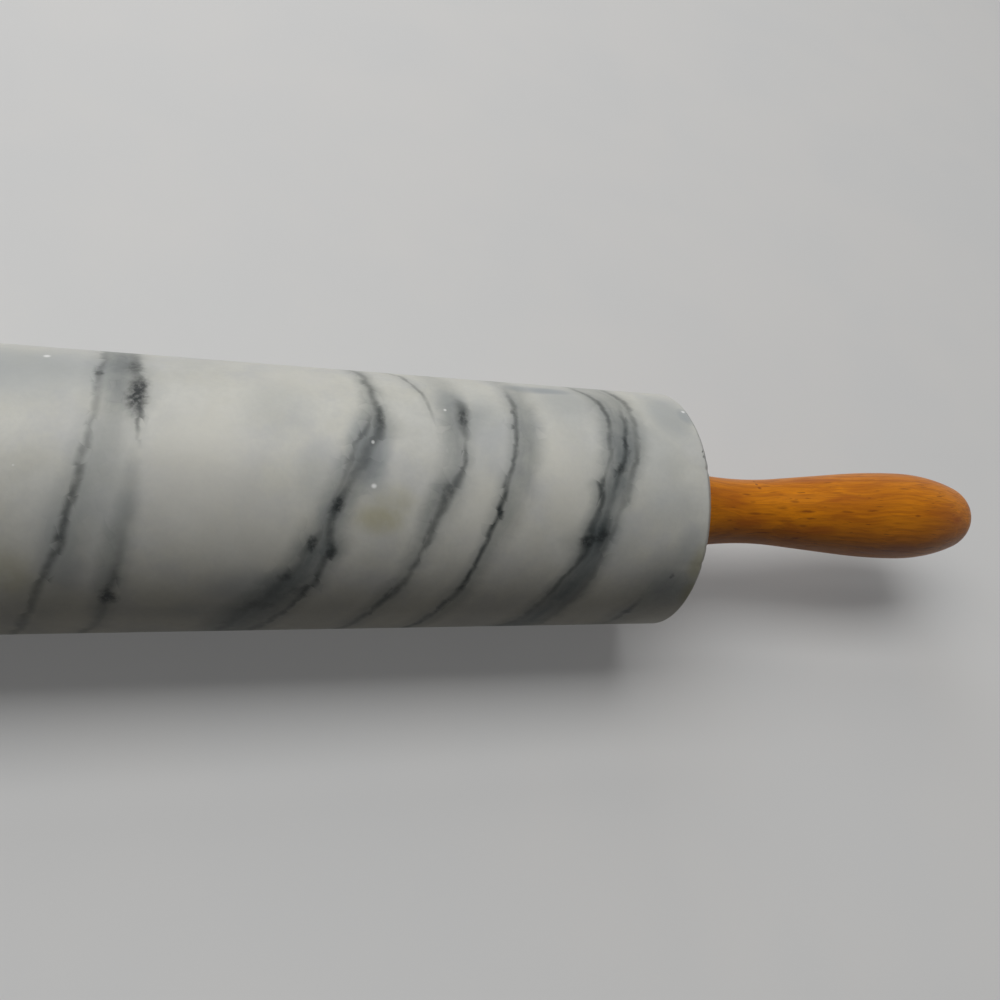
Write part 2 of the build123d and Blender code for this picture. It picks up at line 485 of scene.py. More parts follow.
insert_corners = [
    (insert_length / 2, insert_radius),
    (insert_length - insert_chamfer, insert_radius),
    (insert_length, insert_radius - insert_chamfer),
    (insert_length, thread_major + insert_mouth),
    (insert_length - insert_mouth, thread_major),
    (insert_mouth, thread_major),
    (0, thread_major + insert_mouth),
    (0, insert_flange_radius),
    (flange_depth, insert_flange_radius),
    (flange_depth, insert_radius),
    (insert_length / 2, insert_radius),
]
inserts = {}
for side, sign in sides.items():
    outline = ring_outline(insert_corners, softness=0.12, longest=0.12, start=handle_base, side=sign)
    grid = ring_grid(outline, columns=64)
    now, angle = polar(grid)
    outside = (now > insert_root) & (now < insert_radius + hair)
    outside &= np.abs(grid[..., 0]) > handle_base + flange_depth + plain_neck
    coarse = insert_root + (insert_radius - insert_root) * ridge(grid[..., 0], angle, insert_pitch) ** 2
    inside = now < thread_major + hair
    now = np.where(outside, np.minimum(now, coarse), now)
    reshape_rings(grid, np.where(inside, screw_radius(grid) + thread_play, now))
    sleeve = add_surface(f"{side}_brass_insert", grid, "handles")
    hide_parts(f"{side}_insert")
    inserts[side] = sleeve

# %% The driver slots
slot_width = 1.6
slot_depth = 2.6
cut_overrun = 1.0
crease_angle = radians(35)

reach_out = insert_flange_radius + cut_overrun
box = [[-cut_overrun, slot_depth], [-reach_out, reach_out], [-slot_width / 2, slot_width / 2]]
corners = np.array(np.meshgrid(*box, indexing="ij")).reshape(3, -1).T + (handle_base, 0, 0)
walls = [(0, 1, 3, 2), (4, 6, 7, 5), (0, 4, 5, 1), (2, 3, 7, 6), (0, 2, 6, 4), (1, 5, 7, 3)]
for side, sign in sides.items():
    sleeve = inserts[side]
    outward = walls if sign > 0 else [wall[::-1] for wall in walls]
    cutter_mesh = bpy.data.meshes.new("driver_slot")
    cutter_mesh.from_pydata((corners * (sign, 1, 1) * mm).tolist(), [], outward)
    cutter = bpy.data.objects.new("driver_slot", cutter_mesh)
    bpy.context.scene.collection.objects.link(cutter)
    cut = sleeve.modifiers.new("driver slot", "BOOLEAN")
    cut.object = cutter
    cut.solver = "EXACT"
    shaped = sleeve.evaluated_get(bpy.context.evaluated_depsgraph_get())
    sleeve.data = bpy.data.meshes.new_from_object(shaped)
    sleeve.modifiers.clear()
    bpy.data.objects.remove(cutter)
    sleeve.data.shade_smooth()
    sleeve.data.set_sharp_from_angle(angle=crease_angle)
    print(f"{side} insert after the slot: {len(sleeve.data.polygons)} faces")

# %% Washers
washer_hole = 3.2
washer_thickness = handle_base - washer_face
punched_edge = 0.25

washer_corners = [
    (washer_thickness / 2, washer_radius),
    (washer_thickness - punched_edge, washer_radius),
    (washer_thickness, washer_radius - punched_edge),
    (washer_thickness, washer_hole),
    (0, washer_hole),
    (0, washer_radius - punched_edge),
    (punched_edge, washer_radius),
    (washer_thickness / 2, washer_radius),
]
washers = {}
for side, sign in sides.items():
    outline = ring_outline(washer_corners, softness=0.12, longest=1.5, start=washer_face, side=sign)
    grid = ring_grid(outline, columns=96)
    washer = add_surface(f"{side}_plated_washer", grid, "handles")
    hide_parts(f"{side}_washer")
    washers[side] = washer

# %% Nylon bushes
bush_radius = 7.65
bush_lead = 3.0
bush_lead_depth = 0.5
rib_height = 0.33
rib_width = 1.2
rib_flank = 0.4
rib_inset = 0.2
rib_count = 6
bush_bore = rod_radius + 0.06
bush_mouth = 0.5
flange_edge = 0.4

# The outline starts and ends on the plain sleeve, 1 mm past its tapered lead
lead_end = bush_inner_end + bush_lead
bush_corners = [
    (lead_end + 1, bush_radius),
    (barrel_end, bush_radius),
    (barrel_end, flange_radius),
    (flange_face - flange_edge, flange_radius),
    (flange_face, flange_radius - flange_edge),
    (flange_face, bush_bore + bush_mouth),
    (flange_face - bush_mouth, bush_bore),
    (bush_inner_end + bush_mouth, bush_bore),
    (bush_inner_end, bush_bore + bush_mouth),
    (bush_inner_end, bush_radius - bush_lead_depth),
    (lead_end, bush_radius),
    (lead_end + 1, bush_radius),
]


def rib_share(grid):
    """How much of a crush rib's height each point of a bush gets, only on the sleeve that the
    bore grips: (half the width + half the flank - distance from the rib's middle) / flank, cut to
    between 0 and 1."""
    radius, angle = polar(grid)
    turns = angle * rib_count / (2 * pi)
    away = np.abs(np.mod(turns + 0.5, 1) - 0.5) * 2 * pi / rib_count * bush_radius
    along = np.abs(grid[..., 0])
    on_sleeve = (np.abs(radius - bush_radius) < hair) & (along > lead_end + rib_inset)
    on_sleeve &= along < barrel_end - rib_inset / 2
    return on_sleeve * np.clip((rib_width / 2 + rib_flank / 2 - away) / rib_flank, 0, 1)


bushes = {}
for side, sign in sides.items():
    outline = ring_outline(bush_corners, softness=0.15, longest=1.2, start=0, side=sign)
    grid = ring_grid(outline, columns=180)
    reshape_rings(grid, polar(grid)[0] + rib_height * rib_share(grid))
    bush = add_surface(f"{side}_nylon_bush", grid, "barrel")
    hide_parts(f"{side}_bush")
    bushes[side] = bush

# %% [markdown]
# ## Materials: the helpers
#
# A colour is written as the hex value a screen shows, and one function turns it to the linear
# numbers that Blender mixes. Another adds a node, sets it and fills its sockets, which keeps a
# long recipe readable. Every material is painted in three dimensions from each point's own place,
# so nothing needs unwrapping, and a pattern runs on from the side of a piece to its end.

# %% Colour and node helpers


def linear(hex_colour):
    """Screen hex to linear colour: c / 12.92 for dark values, else ((c + 0.055) / 1.055)^2.4."""
    c = np.array([int(hex_colour[i : i + 2], 16) for i in (1, 3, 5)]) / 255
    return (*np.where(c <= 0.04045, c / 12.92, ((c + 0.055) / 1.055) ** 2.4).tolist(), 1.0)


def add_node(tree, kind, fills=None, give=None, **settings):
    """Adds one node to a tree. fills maps an input's name or number to a value, a hex colour or
    the output that feeds it, and settings are the node's own properties. give is the name or
    number of the output to hand back, and without it the node itself comes back."""
    node = tree.nodes.new("ShaderNode" + kind)
    for name, value in settings.items():
        setattr(node, name, value)
    for key, value in (fills or {}).items():
        if isinstance(value, bpy.types.NodeSocket):
            tree.links.new(value, node.inputs[key])
        else:
            node.inputs[key].default_value = linear(value) if isinstance(value, str) else value
    return node if give is None else node.outputs[give]


def new_material(name):
    """An empty material, its tree, and the output that gives each point's own place in mm."""
    material = bpy.data.materials.new(name)
    material.use_nodes = True
    tree = material.node_tree
    tree.nodes.clear()
    own_place = add_node(tree, "TexCoord", give="Object")
    return material, tree, add_node(tree, "Mapping", {0: own_place, "Scale": (1 / mm,) * 3}, 0)


def finish_surface(tree, colour, roughness, height, strength, sockets, deepest=0.1):
    """The surface's shader with its colour, roughness and relief, whose lumps are deepest mm deep
    at strength 1. sockets holds the values that are the same all over."""
    relief = {"Height": height, "Strength": strength, "Distance": deepest * mm}
    fills = {"Base Color": colour, "Roughness": roughness, "Normal": add_node(tree, "Bump", relief, 0)}
    add_node(tree, "OutputMaterial", {0: add_node(tree, "BsdfPrincipled", {**fills, **sockets}, 0)})


# %% [markdown]
# Stone and wood are lumpy, clouded and streaked, each at its own size. So one helper gives a noise
# of a real size in millimetres, cut between two levels. Others move points by a noise, so that a
# line wanders, and lay coats of colour over each other.

# %% Pattern helpers

# The number of each colour socket on a Mix node, whose inputs share their names
colour_a, colour_b, mixed = 6, 7, 2


def lumps(tree, point, size, low, high, least=0.0, most=1.0, detail=2.0, stretch=(1, 1, 1)):
    """How strongly a noise with lumps of this size in mm shows at each point: least where the
    noise is under low, most where it is over high, and smoothly between. The lumps are longer
    along an axis with a stretch."""
    sized = [1 / (size * longer) for longer in stretch]
    sized = add_node(tree, "VectorMath", {0: point, 1: sized}, 0, operation="MULTIPLY")
    level = {"Vector": sized, "Scale": 1.0, "Detail": detail, "Roughness": 0.58}
    level = {0: add_node(tree, "TexNoise", level, 0), 1: low, 2: high, 3: least, 4: most}
    return add_node(tree, "MapRange", level, 0, interpolation_type="SMOOTHSTEP")


def moved(tree, point, colour, far):
    """The point moved by up to far mm each way, as the three parts of a colour say."""
    centred = add_node(tree, "VectorMath", {0: colour, 1: (0.5,) * 3}, 0, operation="SUBTRACT")
    fills = {0: centred, 1: (2 * far,) * 3, 2: point}
    return add_node(tree, "VectorMath", fills, 0, operation="MULTIPLY_ADD")


def shaken(tree, point, size, far):
    """The point moved by noise of this lump size, by up to far mm each way."""
    sized = add_node(tree, "VectorMath", {0: point, 1: (1 / size,) * 3}, 0, operation="MULTIPLY")
    return moved(tree, point, add_node(tree, "TexNoise", {"Vector": sized, "Scale": 1.0}, "Color"), far)


def joined(tree, operation, amounts):
    """Several amounts joined one after the other: MAXIMUM keeps the largest, and MULTIPLY gives
    what is left when each takes its share."""
    total, *rest = amounts
    for amount in rest:
        total = add_node(tree, "Math", {0: total, 1: amount}, 0, operation=operation)
    return total


def lay_over(tree, base, coats):
    """A colour with coats laid over it. A coat is (share, colour), and hides its share of what
    lies below it."""
    for share, colour in coats:
        fills = {0: share, colour_a: base, colour_b: colour}
        base = add_node(tree, "Mix", fills, mixed, data_type="RGBA")
    return base


# %% [markdown]
# ## Marble: where the veins run
#
# Marble is limestone that was squeezed and heated. Its grey veins are thin sheets of other
# minerals, so they cut right through the stone and come out on the far side and on the ends. On a
# cylinder each sheet shows as one slanting ring. Each sheet below follows points read from the
# photograph: pixel right, pixel down, half its width in pixels, and how dark it is. The unseen
# side follows a tilted plane, because the sheets lie almost parallel. Hazes are wider and paler
# sheets, the stained stone that a bundle of veins runs in.

# %% The vein sheets that the photograph shows
vein_paths = {
    "left_line": [
        (106, 351, 3.5, 0.35), (100, 373, 4, 0.5), (95, 399, 3.5, 0.35), (90, 425, 3.5, 0.35),
        (86, 449, 4, 0.45), (80, 466, 4, 0.5), (74, 484, 4.5, 0.75), (69, 504, 4, 0.65),
        (63, 526, 4.5, 0.8), (57, 544, 5, 0.75), (51, 563, 4.5, 0.55), (44, 581, 5, 0.65),
        (36, 595, 5, 0.5), (24, 623, 5, 0.6),
    ],
    "left_spotted": [
        (134, 355, 4, 0.4), (136, 370, 5, 0.4), (138, 385, 6, 0.6), (139, 395, 6, 0.7),
        (140, 405, 4, 0.8), (140, 418, 2.5, 0.75), (140, 433, 1.5, 0.3), (138, 450, 2, 0.0),
        (132, 486, 4, 0.0), (124, 525, 5, 0.1), (117, 560, 5, 0.25), (112, 583, 5, 0.6),
        (107, 597, 6, 0.7), (102, 610, 5, 0.4), (95, 625, 5, 0.3),
    ],
    "thick_stem": [
        (356, 372, 3, 0.4), (368, 385, 3.5, 0.5), (374, 398, 3.5, 0.55), (379, 411, 4, 0.7),
        (381, 424, 4.5, 0.8), (377, 439, 5.5, 0.65), (368, 452, 5, 0.45), (359, 468, 5, 0.45),
        (350, 480, 4.5, 0.35), (338, 504, 4.5, 0.85), (331, 516, 4, 0.7), (330, 532, 3.5, 0.5),
        (331, 552, 4, 0.85), (327, 559, 3.5, 0.6), (319, 576, 3.5, 0.75), (308, 589, 4, 0.85),
        (294, 603, 4, 0.85), (277, 616, 4, 0.7), (255, 627, 5, 0.6),
    ],
    "thick_fork": [
        (335, 512, 2, 0.0), (322, 530, 3, 0.15), (312, 544, 5, 0.75), (301, 559, 4, 0.05),
        (284, 577, 5, 0.6), (268, 596, 5, 0.3), (249, 606, 6, 0.5), (228, 622, 6, 0.4),
    ],
    "stem_twin": [
        (374, 410, 2, 0.0), (368, 424, 2.5, 0.4), (362, 437, 3, 0.6), (355, 446, 3, 0.4),
        (351, 460, 3, 0.4), (346, 478, 3, 0.2), (338, 492, 3, 0.4), (332, 503, 2, 0.2),
        (325, 520, 2, 0.0),
    ],
    "fine_arc": [
        (380, 370, 2, 0.2), (397, 376, 2, 0.45), (412, 385, 2, 0.5), (422, 394, 1.8, 0.45),
        (429, 407, 1.5, 0.35), (434, 418, 1.5, 0.15), (437, 430, 1, 0.0),
    ],
    "broken_line": [
        (455, 396, 4, 0.0), (461, 406, 6, 0.6), (464, 418, 6, 0.9), (465, 430, 4, 0.6),
        (466, 442, 2, 0.2), (466, 454, 1.8, 0.7), (465, 468, 2.2, 0.7), (460, 476, 4, 0.6),
        (455, 488, 5, 0.65), (448, 496, 6, 0.7), (443, 509, 4, 0.65), (437, 522, 4, 0.5),
        (432, 533, 4, 0.65), (425, 546, 3.5, 0.6), (416, 562, 4, 0.7), (408, 574, 3, 0.3),
        (400, 585, 4, 0.75), (390, 596, 4, 0.8), (380, 605, 4, 0.7), (366, 614, 4, 0.65),
        (345, 626, 4, 0.5),
    ],
    "long_arc": [
        (503, 388, 3, 0.0), (510, 398, 3, 0.4), (513, 407, 2.5, 0.6), (515, 416, 2.2, 0.7),
        (515, 429, 2.2, 0.65), (516, 446, 2.2, 0.7), (513, 464, 2.2, 0.65),
        (508, 480, 2.5, 0.75), (502, 502, 2.5, 0.85),
        (499, 513, 3.2, 1.0), (492, 530, 2.5, 0.85), (488, 541, 2.5, 0.85), (480, 557, 2.5, 0.8),
        (468, 575, 3, 0.9), (456, 593, 3.5, 0.95), (440, 607, 3.5, 0.9), (420, 622, 4, 0.8),
    ],
    "band_left_line": [
        (575, 390, 2, 0.35), (585, 394, 2, 0.55), (597, 402, 2.5, 0.65), (606, 416, 2, 0.6),
        (611, 436, 2, 0.5), (611, 459, 1.5, 0.3), (606, 472, 1.5, 0.1), (600, 482, 3, 0.85),
        (602, 494, 2.5, 0.8), (599, 513, 2.5, 0.6), (592, 528, 5, 0.7), (588, 540, 7, 0.9),
        (583, 555, 3.5, 0.75), (576, 565, 2.5, 0.65), (563, 579, 2.5, 0.6), (551, 593, 3, 0.6),
        (536, 606, 3.5, 0.6), (517, 620, 4, 0.6),
    ],
    "band_core": [
        (617, 404, 2, 0.1), (624, 420, 2, 0.45), (626, 438, 1.8, 0.85), (625, 454, 2, 1.0),
        (622, 468, 2.6, 0.95), (618, 476, 3, 0.6), (613, 492, 3, 0.25), (609, 510, 3, 0.25),
        (605, 524, 4.5, 0.6), (603, 536, 5, 1.0), (598, 552, 4, 0.4), (590, 565, 4, 0.0),
    ],
    "band_right_line": [
        (609, 393, 2, 0.45), (616, 397, 3, 0.6), (626, 407, 3, 0.55), (634, 423, 2.5, 0.4),
        (637, 441, 2.5, 0.3), (636, 464, 2.5, 0.55), (631, 480, 3, 0.3), (625, 500, 3, 0.3),
        (616, 522, 2, 0.2), (606, 546, 4, 0.6), (597, 563, 3, 0.35), (586, 582, 3, 0.3),
        (572, 600, 4, 0.35), (551, 616, 4, 0.35), (526, 627, 4, 0.3),
    ],
    "end_streak": [
        (642, 596, 2, 0.0), (635, 604, 3, 0.6), (627, 610, 3.5, 1.0), (619, 616, 3.5, 0.8),
        (606, 622, 3, 0.3), (595, 625, 2, 0.0),
    ],
}
haze_paths = {
    "left_haze": [
        (121, 352, 20, 0.7), (119, 375, 22, 0.75), (117, 400, 22, 0.55), (112, 430, 22, 0.35),
        (103, 460, 20, 0.17), (92, 500, 20, 0.13), (82, 530, 20, 0.2), (72, 560, 18, 0.24),
        (62, 595, 18, 0.15), (50, 620, 18, 0.1),
    ],
    "spotted_haze": [
        (134, 440, 6, 0.0), (131, 465, 10, 0.15), (126, 500, 14, 0.3), (119, 530, 18, 0.4),
        (113, 560, 18, 0.4), (107, 590, 16, 0.4), (100, 615, 14, 0.3), (96, 625, 14, 0.3),
    ],
    "thick_haze": [
        (362, 375, 10, 0.3), (373, 400, 12, 0.4), (374, 425, 20, 0.6), (365, 450, 26, 0.75),
        (358, 474, 25, 0.7), (341, 500, 24, 0.55), (327, 525, 25, 0.6), (317, 550, 28, 0.95),
        (300, 572, 30, 0.8), (282, 590, 34, 0.95), (258, 607, 36, 0.9), (236, 622, 38, 0.9),
    ],
    "broken_haze": [
        (440, 385, 20, 0.25), (452, 410, 18, 0.4), (457, 445, 18, 0.6), (453, 470, 17, 0.45),
        (442, 495, 18, 0.6), (430, 525, 14, 0.4), (416, 553, 12, 0.25), (398, 583, 12, 0.25),
        (372, 608, 12, 0.25),
    ],
    "long_haze": [
        (518, 398, 16, 0.35), (526, 420, 17, 0.55), (528, 450, 18, 0.6), (522, 480, 18, 0.5),
        (512, 510, 18, 0.45), (498, 540, 16, 0.35), (480, 570, 14, 0.25), (458, 600, 12, 0.2),
    ],
    "band_haze": [
        (597, 393, 18, 0.3), (612, 410, 21, 0.5), (622, 430, 23, 0.75), (624, 450, 23, 0.8),
        (620, 470, 23, 0.8), (615, 488, 20, 0.88), (608, 508, 19, 0.72), (599, 530, 20, 0.95),
        (593, 550, 18, 0.9), (585, 568, 19, 0.86), (573, 584, 20, 1.0), (559, 599, 22, 1.0),
        (541, 612, 24, 1.0), (518, 624, 26, 1.0),
    ],
    "end_haze": [
        (680, 538, 20, 0.0), (678, 555, 32, 0.2), (672, 572, 38, 0.42), (664, 588, 42, 0.58),
        (652, 602, 40, 0.5), (632, 616, 34, 0.4),
    ],
}
print(len(vein_paths), "veins and", len(haze_paths), "hazes follow the photograph")

# %% Spots: pixel right, pixel down, half width and half height in mm, strength
dark_spots = [
    (138, 393, 2.9, 7.0, 1.0), (134, 366, 2.4, 4.0, 0.55), (108, 597, 2.4, 2.8, 0.95),
    (100, 373, 1.0, 1.4, 0.6), (587, 541, 3.0, 2.0, 0.85), (604, 535, 2.0, 2.4, 0.7),
    (595, 539, 4.0, 1.4, 0.8),
    (338, 505, 1.7, 2.2, 0.85), (331, 552, 1.2, 2.2, 0.6), (312, 545, 1.5, 2.2, 0.75),
    (286, 577, 2.6, 1.4, 0.55), (300, 592, 3.0, 2.4, 0.4), (262, 605, 3.8, 2.2, 0.45),
    (464, 418, 1.4, 3.4, 0.7), (448, 492, 1.8, 2.4, 0.35), (381, 420, 1.2, 4.0, 0.45),
    (621, 470, 1.6, 2.0, 0.6), (626, 446, 0.8, 4.0, 0.45), (626, 612, 2.0, 1.4, 0.8),
    (672, 576, 1.0, 1.0, 0.5), (513, 412, 0.8, 2.2, 0.45), (499, 513, 1.0, 2.0, 0.6),
    (703.5, 451, 0.4, 0.6, 0.9), (705, 458, 0.4, 0.8, 0.8),
]
# Greyer cool spots; several of the largest darken both ends of the seen barrel
cool_spots = [
    (545, 391, 11.0, 4.0, 0.9), (520, 389, 6.0, 3.5, 0.7), (684, 416, 4.5, 6.0, 0.8),
    (672, 504, 9.0, 9.0, 0.3), (280, 405, 11.0, 12.0, 0.25), (375, 462, 4.5, 11.0, 0.6),
    (360, 437, 4.0, 9.0, 0.5), (452, 400, 6.0, 6.0, 0.4), (318, 472, 6.0, 10.0, 0.3),
    (250, 588, 12.0, 7.0, 0.5), (620, 540, 7.0, 10.0, 0.3), (60, 540, 6.0, 16.0, 0.45),
    (690, 545, 5.0, 8.0, 0.4), (15, 366, 26.0, 14.0, 0.6), (100, 500, 9.0, 22.0, 0.4),
    (668, 415, 9.0, 14.0, 0.6), (660, 450, 9.0, 16.0, 0.3), (565, 400, 10.0, 14.0, 0.4),
    (488, 425, 7.0, 16.0, 0.35), (672, 592, 9.0, 8.0, 0.5), (215, 612, 18.0, 5.0, 0.4),
]
# Warm spots: partly the stone's own tone, partly painted light brightening the middle of the barrel's near
# side
warm_spots_and_painted_light = [
    (200, 470, 16.0, 24.0, 0.5), (565, 480, 7.0, 18.0, 0.4), (250, 530, 14.0, 14.0, 0.4),
    (480, 520, 6.0, 14.0, 0.4), (300, 380, 12.0, 8.0, 0.4),
]
stain_spots = [(381, 518, 8.0, 4.6, 0.6), (392, 505, 8.0, 5.0, 0.35), (10, 575, 6.0, 8.0, 0.35),
               (698, 565, 3.5, 7.0, 0.55), (691, 592, 4.0, 6.0, 0.7)]
white_spots = [
    (374, 486, 0.8, 0.7, 1.0), (445, 410, 0.5, 0.5, 0.8), (47, 356, 0.9, 1.0, 0.9),
    (683, 412, 0.7, 0.7, 0.9), (13, 465, 0.3, 0.3, 0.6), (373, 442, 0.5, 0.6, 0.6),
]

# %% [markdown]
# A sheet is stored as three curves of the angle round the axle: its place along X, its half width
# and its darkness. They close on themselves after a full turn. What the picture doesn't show of
# the barrel, its left half, holds the same kinds of sheet again, moved along and turned.

# %% Curves round the axle

# A sheet's tilted plane leans by these two in mm, and past seen_angle it is nothing but that plane
sheet_rise = 9.0
sheet_bulge = 10.0
seen_angle = 2.2
far_strength = 0.75

# The widths are read at the dark middle of a vein or haze, and with its soft sides it is this many
# times as wide
vein_spread = 1.9
haze_spread = 1.35
widest = 20.0
curve_steps = 72
curve_angles = np.linspace(-pi, pi, curve_steps + 1)


def sheet_curves(points, spread, shift=0.0, turn=0.0):
    """Middle, place, half width and darkness of a sheet, the last three at the even curve_angles.
    The place is that of a tilted plane, middle + rise * sin(angle) + bulge * cos(angle), plus what
    the points differ from it, which fades to nothing on the far side. Points that end at darkness
    0 end the sheet there. The half widths read are made wider by spread, and a copy of the sheet
    is moved along X by shift and round the axle by turn."""
    points = np.array(points, float)
    along, angle = on_barrel(points[:, :2])
    scale = np.abs(on_barrel(points[:, :2] + (1, 0))[0] - along)
    plane = sheet_rise * np.sin(angle) + sheet_bulge * np.cos(angle)
    middle = (along - plane).mean()
    order = np.argsort(angle)
    angle, rest = angle[order], (along - plane - middle)[order]
    half, dark = (points[:, 2] * scale * spread)[order], points[order, 3]
    far_dark = far_strength * dark.mean() if dark[0] * dark[-1] > 0 else 0.0
    angle = np.concatenate([[-pi, -seen_angle], angle, [seen_angle, pi]])
    rest = np.concatenate([[0, 0], rest, [0, 0]])
    half = np.concatenate([[half.mean()] * 2, half, [half.mean()] * 2])
    dark = np.concatenate([[far_dark] * 2, dark, [far_dark] * 2])
    here = np.angle(np.exp(1j * (curve_angles - turn)))
    place = middle + shift + sheet_rise * np.sin(here) + sheet_bulge * np.cos(here)
    place += np.interp(here, angle, rest)
    return middle + shift, place, np.interp(here, angle, half), np.interp(here, angle, dark)


# The sheets that the unseen half has again: moved along X in mm, and turned in radians
hidden_sheets = {
    "thick_stem": (-97, 0.5), "thick_fork": (-97, 0.5), "long_arc": (-106, -0.5),
    "broken_line": (-142, 0.9), "left_line": (-92, -0.4),
}
hidden_hazes = {"thick_haze": (-97, 0.5), "long_haze": (-106, -0.5), "broken_haze": (-142, 0.9)}
veins = [sheet_curves(path, vein_spread) for path in vein_paths.values()]
veins += [sheet_curves(vein_paths[name], vein_spread, *move) for name, move in hidden_sheets.items()]
hazes = [sheet_curves(path, haze_spread) for path in haze_paths.values()]
hazes += [sheet_curves(haze_paths[name], haze_spread, *move) for name, move in hidden_hazes.items()]
for name, (middle, *_) in zip([*vein_paths, *hidden_sheets], veins):
    print(f"{name}: middle at {middle:.1f} mm")

# %% [markdown]
# ## Marble: how a vein is painted
#
# The object's coordinates are turned so that one axis faces the camera, which is only where the
# angle round the axle starts. A curve node gives a sheet's place, half width and darkness at that
# angle. A small group measures how far the point lies from the sheet: nearer than the half width
# is vein, and the stone beside it is stained for about three times as far.

# %% The groups that measure a sheet and a spot

# A curve holds places this far in mm to either side, and no sheet is thinner than least_half
curve_reach = 2 * barrel_end
least_half = 0.02
fringe_reach = 3.2
spot_core = 0.2


def new_group(name, inputs, kind, outputs):
    """An empty node group, with the outputs of its input node and the inputs of its output node."""
    group = bpy.data.node_groups.new(name, "ShaderNodeTree")
    for label in inputs:
        group.interface.new_socket(label, in_out="INPUT", socket_type=kind)
    for label in outputs:
        group.interface.new_socket(label, in_out="OUTPUT", socket_type="NodeSocketFloat")
    return group, group.nodes.new("NodeGroupInput").outputs, group.nodes.new("NodeGroupOutput").inputs


def sheet_group():
    """A node group that turns the distance from a sheet, as a share of its half width, to two
    amounts: Core, which is 1 at the sheet and 0 at its half width, and Fringe, which reaches
    further. Both are times the darkness. Toward the axle the sheet's place closes in on its
    middle, so that it stays a flat sheet across the ends."""
    labels = ("Along", "Depth share", "Place share", "Half width share", "Darkness", "Middle")
    group, given, results = new_group("mineral_sheet", labels, "NodeSocketFloat", ("Core", "Fringe"))
    fills = {0: given["Place share"], 3: -curve_reach, 4: curve_reach}
    place = add_node(group, "MapRange", fills, 0, clamp=False)
    place = add_node(group, "Mix", {0: given["Depth share"], 2: given["Middle"], 3: place}, 0)
    gap = add_node(group, "Math", {0: given["Along"], 1: place}, 0, operation="SUBTRACT")
    gap = add_node(group, "Math", {0: gap}, 0, operation="ABSOLUTE")
    half = {0: given["Half width share"], 1: widest, 2: least_half}
    half = add_node(group, "Math", half, 0, operation="MULTIPLY_ADD")
    share = add_node(group, "Math", {0: gap, 1: half}, 0, operation="DIVIDE")
    for result, (edge, full) in zip(results, ((1.0, 0.05), (fringe_reach, 0.5))):
        near = add_node(group, "MapRange", {0: share, 1: edge, 2: full}, 0, interpolation_type="SMOOTHSTEP")
        group.links.new(joined(group, "MULTIPLY", [near, given["Darkness"]]), result)
    return group


def spot_group():
    """A node group: 1 in the core of a soft oval spot and 0 at its edge, where the edge is one
    size away along each axis."""
    labels = ("Point", "Middle", "Size")
    group, given, results = new_group("soft_spot", labels, "NodeSocketVector", ("Amount",))
    gap = add_node(group, "VectorMath", {0: given[0], 1: given[1]}, 0, operation="SUBTRACT")
    gap = add_node(group, "VectorMath", {0: gap, 1: given[2]}, 0, operation="DIVIDE")
    gap = add_node(group, "VectorMath", {0: gap}, "Value", operation="LENGTH")
    fills = {0: gap, 1: 1.0, 2: spot_core}
    near = add_node(group, "MapRange", fills, 0, interpolation_type="SMOOTHSTEP")
    group.links.new(near, results[0])
    return group


def read_sheet(tree, group, curves, angle_share, along, depth_share):
    """Adds a curve node that holds a sheet's three curves, and the group that measures it."""
    middle, place, half, dark = curves
    node = add_node(tree, "RGBCurve", {"Color": angle_share})
    shares = (place / (2 * curve_reach) + 0.5, half / widest, dark)
    for curve, values in zip(node.mapping.curves, shares):
        for share, value in list(zip(np.linspace(0, 1, curve_steps + 1), values))[1:-1]:
            curve.points.new(share, value)
        curve.points[0].location = (0, values[0])
        curve.points[-1].location = (1, values[-1])
        for point in curve.points:
            point.handle_type = "VECTOR"
    node.mapping.update()
    parts = add_node(tree, "SeparateColor", {0: node.outputs[0]}).outputs
    return add_node(tree, "Group", {
        "Along": along, "Depth share": depth_share, "Place share": parts[0],
        "Half width share": parts[1], "Darkness": parts[2], "Middle": middle,
    }, node_tree=group).outputs


def read_spots(tree, group, places, table, point):
    """The largest amount of a table of spots at each point. places gives where the spots' pixels
    land on the piece, as arrays of place along X, angle and radius."""
    amounts = []
    for along, angle, radius, (_, _, wide, high, strength) in zip(*places, table):
        middle = (along, radius * sin(angle), radius * cos(angle))
        fills = {"Point": point, "Middle": middle, "Size": (wide, high, high)}
        spot = add_node(tree, "Group", fills, 0, node_tree=group)
        amounts.append(joined(tree, "MULTIPLY", [spot, strength]))
    return joined(tree, "MAXIMUM", amounts)


# %% [markdown]
# ## Marble: ground, veins and spots
#
# The stone is ground and polished calcite, a mass of crystals about a millimetre across. Light
# goes a little way in before it comes back, so the surface looks soft and milky, and the polish
# has a satin shine. The ground shifts between a warm and a cool grey. Some warm patches are also
# painted light, brightening the middle of the barrel's near side. Old cracks have moved the
# stone's fragments a little against each other, so the sheets are measured from points that are
# moved cell by cell, and shaken a little by noise.

# %% Coordinates turned toward the camera
marble, tree, in_mm = new_material("polished_veined_marble")
turned = add_node(tree, "Mapping", {0: in_mm, "Rotation": (camera_elevation - pi / 2, 0, 0)}, 0)

